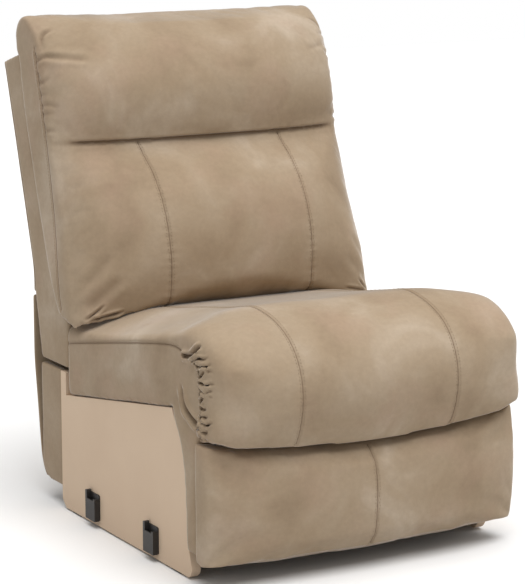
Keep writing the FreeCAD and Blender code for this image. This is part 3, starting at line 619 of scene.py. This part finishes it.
SUEDE = suede_material()
LINING = lining_material()
# Seam cord: thread, made darker than the suede as painted shade of the seam's groove
SEAM_SHADE_CORD = plain_material("seam", (srgb(112, 92, 71), srgb(130, 109, 87)),
                      scale=300.0, depth=0.0002, Roughness=0.95)
THREAD = plain_material("thread", (srgb(146, 126, 103), srgb(160, 140, 116)),
                        scale=900.0, depth=0.0002, Roughness=0.7)
TIMBER = plain_material("timber", (srgb(176, 139, 96), srgb(208, 174, 128)),
                        scale=9.0, depth=0.0006, stretch=(1.0, 9.0, 9.0), Roughness=0.7)
STEEL = plain_material("steel", (srgb(52, 52, 54), srgb(70, 70, 72)),
                       scale=60.0, depth=0.0002, Roughness=0.45, Metallic=0.6)
PLASTIC = plain_material("black_plastic", (srgb(24, 22, 21), srgb(38, 35, 33)),
                         scale=240.0, depth=0.0003, Roughness=0.5)
NYLON = plain_material("nylon", (srgb(214, 210, 198), srgb(228, 225, 214)),
                       scale=80.0, depth=0.0002, Roughness=0.4)
WEBBING = plain_material("webbing", (srgb(92, 82, 70), srgb(124, 111, 95)),
                         scale=420.0, depth=0.0006, stretch=(1.0, 0.2, 1.0), Roughness=0.9)
BY_SLOT = {"suede": SUEDE, "lining": LINING, "timber": TIMBER, "steel": STEEL,
           "black_plastic": PLASTIC, "nylon": NYLON, "webbing": WEBBING}


# Cushions

def inner_side(margin):
    """Share that keeps ripples off the flat ends of a cushion."""
    return lambda points: np.clip((CUSHION_END - margin - np.abs(points[:, 0])) / 0.004, 0.0, 1.0)


def at_ends(piece):
    """Which points are on the flat, sewn ends of a cushion."""
    across = np.abs(coordinates(piece)[:, 0])
    return across > across.max() - 0.004


def mirrored(low, high):
    """A box on the right, given by x, stations and heights, and its twin on the left."""
    right = (spot(*low), spot(*high))
    left = (spot(-high[0], *low[1:]), spot(-low[0], *high[1:]))
    return [right, left]


def height_share(points, start, end):
    """Share that rises smoothly from 0 at one height to 1 at another."""
    share = np.clip((start - points[:, 2]) / (start - end), 0.0, 1.0)
    return share * share * (3 - 2 * share)


def settle(piece, start, end, drop, reach=1.0):
    """Lets a cushion down, more and more from one height to another, within a reach across."""
    points = coordinates(piece)
    within = np.clip((reach - np.abs(points[:, 0])) / 0.03, 0.0, 1.0)
    points[:, 2] -= drop * within * height_share(points, start, end)
    move(piece, points)


def widen(piece, start, end, gain):
    """Lets a cushion bulge out at its sides, more and more from one height to another."""
    points = coordinates(piece)
    points[:, 0] *= 1.0 + gain * height_share(points, start, end)
    move(piece, points)


def round_crest(piece):
    """Softens the turn from the seat's top to its roll."""
    points = coordinates(piece)
    ahead = np.clip((FACE_Y + CREST_REAR - points[:, 1]) / 0.1, 0.0, 1.0)
    high = np.clip((points[:, 2] - CREST_LOW) / 0.02, 0.0, 1.0)
    inside = np.clip((CUSHION_END - np.abs(points[:, 0])) / 0.03, 0.0, 1.0)
    relax(piece, rounds=90, share=ahead * high * inside)


def fill_roll(piece, depth):
    """Stuffs the corners of the roll, near its ends."""
    points = coordinates(piece)
    x, station, height = ROLL_CORNER
    across = np.exp(-((np.abs(points[:, 0]) - x) / 0.05) ** 2)
    ahead = np.clip((FACE_Y + station - points[:, 1]) / 0.08, 0.0, 1.0)
    high = np.exp(-((points[:, 2] - height) / 0.06) ** 2)
    inside = np.clip((CUSHION_END - np.abs(points[:, 0])) / 0.02, 0.0, 1.0)
    move(piece, points + (depth * across * ahead * high * inside)[:, None] * normals(piece))


def long_seam(piece, line, seed, painted_shade):
    """Sewn seam along a cushion, with a faint ripple and painted shade in its groove."""
    pucker(piece, line, depth=0.0005, pitch=0.017, reach=0.012, seed=seed)
    carve(piece, line, depth=0.0018, width=SEAM_WIDTH, lip=0.2, painted_shade=painted_shade)


def knot_creases(piece, side, knot):
    """Short creases that fan out from a knot at the end of the roll, darkened with painted shade."""
    for way in ((0.0, -0.4, 0.9), (-side, -0.3, 0.5), (-side, -0.3, -0.1), (0.0, 0.5, 0.8)):
        shaded_crease = [knot, knot + 0.009 * np.array(way), knot + 0.018 * np.array(way)]
        carve(piece, on_skin(piece, through(shaded_crease, 8))[0], depth=0.0045, width=SEAM_WIDTH, lip=0.7,
              fade=0.012, painted_shade=0.9, rooted=True)


def build_seat():
    """Seat cushion with its roll. The same suede runs down over the front posts."""
    bridge = mirrored((0.334, 0.05, POST_TOP - 0.012), (CUSHION_END, 0.098, POST_TOP + 0.02))
    nodes = ("seat_cushion", "left_front_post", "right_front_post")
    piece = remeshed("seat_cover", nodes, COVER_VOXEL, bridge)
    up = normals(piece)
    points = coordinates(piece)
    held = (up[:, 2] < FACES_DOWN) | (points[:, 1] > FACE_Y + SEAT_REAR - 0.012) | at_ends(piece)
    held |= points[:, 2] < POST_TOP + 0.01
    puff(piece, held, slump=0.002, cap=0.012, calm=16)
    fill_roll(piece, depth=0.017)
    round_crest(piece)
    settle(piece, start=0.34, end=0.29, drop=0.007, reach=0.335)
    subdivide(piece)
    undulate(piece, depth=0.0022, size=0.11, seed=3)
    for low, high in mirrored((0.27, -0.08, POST_TOP - 0.02), (0.37, 0.15, 0.49)):
        refine(piece, low, high)
    seams = [cut(piece, side * SEAT_SEAM_X, centre=(0.2, 0.38), first=7, last=226, count=300)
             for side in SIDES]
    ends = []
    for side in SIDES:
        x = side * CUSHION_END
        top = on_skin(piece, side_line(x, SIDE_SEAM, 60))[0]
        roll = on_skin(piece, side_line(x, ROLL_SEAM, 40))[0]
        pleat = on_skin(piece, side_line(x, PLEAT, 30))[0]
        # The roll's ripples, creases, pleat, tuck and seams below are darkened with painted shade.
        pucker(piece, roll, depth=0.0035, pitch=0.024, reach=0.024, seed=11 + side, keep=inner_side(0.001),
               painted_shade=0.6)
        gather(piece, roll[6:], inward=(-0.6 * side, -1.0, 0.25), count=15, reach=0.038, depth=0.005,
               seed=15 + side, width=0.0028, painted_shade=0.85)
        carve(piece, pleat, depth=0.008, width=0.006, lip=0.6, fade=0.03, painted_shade=0.9)
        tuck = [spot(x, 0.106, 0.447), spot(x, 0.074, 0.455), spot(side * 0.338, 0.05, 0.475)]
        carve(piece, on_skin(piece, through(tuck, 20))[0], depth=0.007, width=0.004, lip=0.7, fade=0.012,
              painted_shade=0.95, rooted=True)
        for knot in (roll[-1], pleat[-1]):
            knot_creases(piece, side, knot)
        ends += [top, roll]
    for line in seams:
        long_seam(piece, line, seed=31, painted_shade=0.22)
    for line in ends:
        carve(piece, line, depth=0.002, width=SEAM_WIDTH, lip=0.2, painted_shade=0.4)
    finish(piece, SUEDE, "seat")
    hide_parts(*nodes)
    sewn("seat", piece, seams, "seat")
    sewn("seat_end", piece, ends, "seat", rows=(END_STITCH_OFFSET,))


def back_border(piece, side, low, high):
    """Sewn border line on one side of the back, between two heights."""
    places = [(border_station(height), height) for height in np.linspace(low, high, 5)]
    return on_skin(piece, side_line(side * CUSHION_END, places, 70))[0]


def border_station(height):
    lean = (BORDER_HEAD[0] - BORDER_LOW[0]) / (BORDER_HEAD[1] - BORDER_LOW[1])
    return BORDER_LOW[0] + (height - BORDER_LOW[1]) * lean


def seen_from_front(piece, places):
    """Points of a cushion's front at places across and heights."""
    bpy.context.view_layer.update()
    line = []
    for x, height in places:
        hit, place, _, _ = piece.ray_cast(Vector(spot(x, LOOKOUT, height)), Vector((0.0, 1.0, 0.0)))
        if hit:
            line.append(place)
    return even_line(np.array(line), LINE_STEP)


def front_line(piece, height, reach, count):
    """Line across the front of a cushion at a height."""
    return seen_from_front(piece, [(x, height) for x in np.linspace(-reach, reach, count)])


def down_line(piece, x, high, low, count):
    """Line down the front of a cushion at a place across."""
    return seen_from_front(piece, [(x, height) for height in np.linspace(high, low, count)])


def wrinkle(piece, side, places, depth, width, painted_shade):
    """Crease near one side of the back, through distances in from the side and heights, with painted shade
    in it.
    """
    turns = through([(side * (CUSHION_END - inward), height) for inward, height in places], 24)
    carve(piece, seen_from_front(piece, turns), depth, width, lip=0.6, fade=0.02, painted_shade=painted_shade)


def build_back():
    """Lumbar cushion and head pillow. Their borders run on past the ends of the fold between them."""
    fold_side = border_station(LUMBAR_TOP)
    bridge = mirrored((0.318, fold_side + 0.001, LUMBAR_TOP - 0.02),
                      (CUSHION_END - 0.0015, fold_side + 0.05, LUMBAR_TOP + 0.02))
    piece = remeshed("back_cover", ("lumbar_cushion", "head_cushion"), COVER_VOXEL, bridge)
    up = normals(piece)
    points = coordinates(piece)
    held = (up[:, 1] > FACES_BACK) | at_ends(piece) | (points[:, 2] < BEND_LOW[2] + 0.015)
    held |= np.abs(points[:, 2] - LUMBAR_TOP) < 0.012
    puff(piece, held, slump=0.003, cap=0.012, slack=0.007)
    settle(piece, start=0.50, end=0.43, drop=0.005)
    widen(piece, start=0.66, end=0.46, gain=0.031)
    subdivide(piece)
    undulate(piece, depth=0.0027, size=0.125, seed=8)
    for low, high in mirrored((0.22, 0.45, 0.41), (0.37, 0.68, 0.5)):
        refine(piece, low, high)
    # The fold between the lumbar and the head gets a groove with painted shade in it, as do the folds and
    # seams below.
    fold = front_line(piece, LUMBAR_TOP + 0.001, reach=0.325, count=120)
    carve(piece, fold, depth=0.006, width=0.005, fade=0.03, painted_shade=0.85)
    seams = [down_line(piece, side * LUMBAR_SEAM_X, LUMBAR_TOP - 0.002, low=0.425, count=120)
             for side in SIDES]
    borders = []
    for side in SIDES:
        border = back_border(piece, side, BORDER_LOW[1], BORDER_TOP)
        pucker(piece, border, depth=0.0014, pitch=0.03, reach=0.03, seed=45 + side, keep=inner_side(0.004))
        for places, depth, width, painted_shade in CORNER_FOLDS:
            wrinkle(piece, side, places, depth * (1.0 if side < 0 else RIGHT_FOLD_SHARE), width, painted_shade)
        head = border[len(border) * 2 // 3:]
        gather(piece, head, inward=(-side, -0.6, 0.0), count=9, reach=0.05, depth=0.0014, seed=63 + side,
               width=0.0048, painted_shade=0.22)
        borders.append(border)
    for line in seams:
        long_seam(piece, line, seed=51, painted_shade=0.22)
    for line in borders:
        carve(piece, line, depth=0.0016, width=SEAM_WIDTH, lip=0.2, painted_shade=0.3)
    sewn("back", piece, seams, BENT)
    sewn("back_border", piece, borders, BENT, rows=(END_STITCH_OFFSET,))
    finish(piece, SUEDE, BENT)
    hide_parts("lumbar_cushion", "head_cushion")


def build_footrest():
    """Footrest panel. Its foot hangs a little, and its top edge reaches up behind the roll."""
    piece = remeshed("footrest_cover", ["footrest_pad"], COVER_VOXEL)
    held = (normals(piece)[:, 1] > FACES_BACK) | at_ends(piece)
    puff(piece, held, slump=0.003, cap=0.009, slack=0.003)
    settle(piece, start=0.13, end=0.05, drop=0.009)
    settle(piece, start=0.25, end=0.285, drop=-0.005)
    subdivide(piece)
    undulate(piece, depth=0.0014, size=0.12, seed=24)
    seam = down_line(piece, 0.0, high=0.25, low=0.045, count=80)
    long_seam(piece, seam, seed=71, painted_shade=0.3)
    finish(piece, SUEDE, "footrest")
    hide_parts("footrest_pad")
    sewn("footrest", piece, [seam], "footrest")


def build_covered_boards():
    """Boards under tight suede: rounded edges and a slightly uneven face."""
    for board, body in (("rear_post", "base"), ("back_wing", "back")):
        for side in ("left_", "right_"):
            node = side + board
            piece = remeshed(node + "_cover", [node], BOARD_VOXEL)
            relax(piece, rounds=5)
            subdivide(piece)
            undulate(piece, depth=0.0008, size=0.09, seed=81)
            finish(piece, SUEDE, body)
            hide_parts(node)


def build_sheet(name, node, places, body, seed):
    """Suede sheet across the back, drawn tight over a side line, with a thickness and soft waves."""
    line = even_line(np.array([spot(0.0, *place) for place in places]), 0.008)
    for _ in range(12):
        line[1:-1] = 0.25 * line[:-2] + 0.5 * line[1:-1] + 0.25 * line[2:]
    low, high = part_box(node)
    columns = np.linspace(low.x + 0.001, high.x - 0.001, 88)
    points = [(x, place[1], place[2]) for place in line for x in columns]
    wide = len(columns)
    faces = [(row * wide + i, row * wide + i + 1, (row + 1) * wide + i + 1, (row + 1) * wide + i)
             for row in range(len(line) - 1) for i in range(wide - 1)]
    piece = new_piece(name, points, faces)
    undulate(piece, depth=0.0014, size=0.1, seed=seed)
    thick = piece.modifiers.new("thick", "SOLIDIFY")
    thick.thickness = SHEET_THICK
    thick.offset = 0.0
    bake(piece)
    subdivide(piece)
    finish(piece, SUEDE, body)
    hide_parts(node)


def build_sheets():
    build_sheet("rear_sheet_cover", "rear_sheet", REAR_SHEET_LINE, "base", seed=91)
    build_sheet("outer_back_cover", "outer_back", OUTER_BACK_LINE, "back", seed=95)


def dress_nodes():
    """Materials of the CAD nodes that stay."""
    for name, node in NODES.items():
        if node.hide_render:
            continue
        node.data.materials.clear()
        node.data.materials.append(BY_SLOT[slot_of(name)])


def slot_of(name):
    for words, slot in NODE_SLOTS:
        if any(word in name for word in words):
            return slot
    return "steel"


NODE_SLOTS = (
    (("lining", "side_panel"), "lining"),
    (("joiner", "glides"), "black_plastic"),
    (("slide_blocks",), "nylon"),
    (("webbing",), "webbing"),
    (("cap",), "suede"),
    (("panel", "stretcher", "rail", "deck", "back_post", "board"), "timber"),
)


# Stage

def build_stage():
    half = FLOOR_HALF
    floor = new_piece("floor", [(-half, -half, 0), (half, -half, 0), (half, half, 0), (-half, half, 0)],
                      [(0, 1, 2, 3)])
    made, main = shader("floor", Roughness=0.9, Specular_IOR_Level=0.1)
    cloud = texture(made, scale=2.0, detail=2.0)
    tone = ramp(made, cloud, [(0.3, grey(0.86)), (0.7, grey(0.88))])
    dim = ramp(made, cloud, [(0.3, grey(0.66)), (0.7, grey(0.68))])
    wire(made, mix(made, dim, tone, seen_directly(made)), main.inputs["Base Color"])
    floor.data.materials.append(made)


def build_lamp(name, way, strength, spread):
    lamp = bpy.data.lights.new(name, "SUN")
    lamp.energy = strength
    lamp.angle = math.radians(spread)
    holder = bpy.data.objects.new(name, lamp)
    holder.rotation_euler = Vector(way).to_track_quat("Z", "Y").to_euler()
    SCENE.collection.objects.link(holder)


def seen_directly(made):
    """1 for rays from the eye, or from a mirror or glass, and 0 for light on its way to the object."""
    path = add(made, "ShaderNodeLightPath")
    seen = path.outputs["Is Camera Ray"]
    for kind in ("Is Glossy Ray", "Is Transmission Ray"):
        either = add(made, "ShaderNodeMath", operation="MAXIMUM")
        wire(made, seen, either.inputs[0])
        wire(made, path.outputs[kind], either.inputs[1])
        seen = either.outputs["Value"]
    return seen


def build_world():
    """White to the eye, and a plain even light on the object."""
    world = bpy.data.worlds.new("studio")
    world.use_nodes = True
    SCENE.world = world
    nodes = world.node_tree.nodes
    links = world.node_tree.links
    nodes.clear()
    seen = seen_directly(world)
    light = nodes.new("ShaderNodeBackground")
    light.inputs["Color"].default_value = (1.0, 0.99, 0.975, 1.0)
    light.inputs["Strength"].default_value = WORLD_STRENGTH
    white = nodes.new("ShaderNodeBackground")
    white.inputs["Color"].default_value = (1.0, 1.0, 1.0, 1.0)
    both = nodes.new("ShaderNodeMixShader")
    out = nodes.new("ShaderNodeOutputWorld")
    links.new(seen, both.inputs[0])
    links.new(light.outputs[0], both.inputs[1])
    links.new(white.outputs[0], both.inputs[2])
    links.new(both.outputs[0], out.inputs["Surface"])


def build_camera():
    lens = bpy.data.cameras.new("camera")
    lens.lens = CAMERA_LENS
    camera = bpy.data.objects.new("camera", lens)
    camera.location = spot(*CAMERA_PLACE)
    aim = Vector(spot(*CAMERA_TARGET)) - camera.location
    camera.rotation_euler = aim.to_track_quat("-Z", "Y").to_euler()
    SCENE.collection.objects.link(camera)
    SCENE.camera = camera


build_seat()
build_back()
build_footrest()
build_covered_boards()
build_sheets()
dress_nodes()
build_stage()
build_lamp("key", KEY_WAY, KEY_STRENGTH, KEY_SPREAD)
build_world()
build_camera()
SCENE.view_settings.view_transform = "Standard"
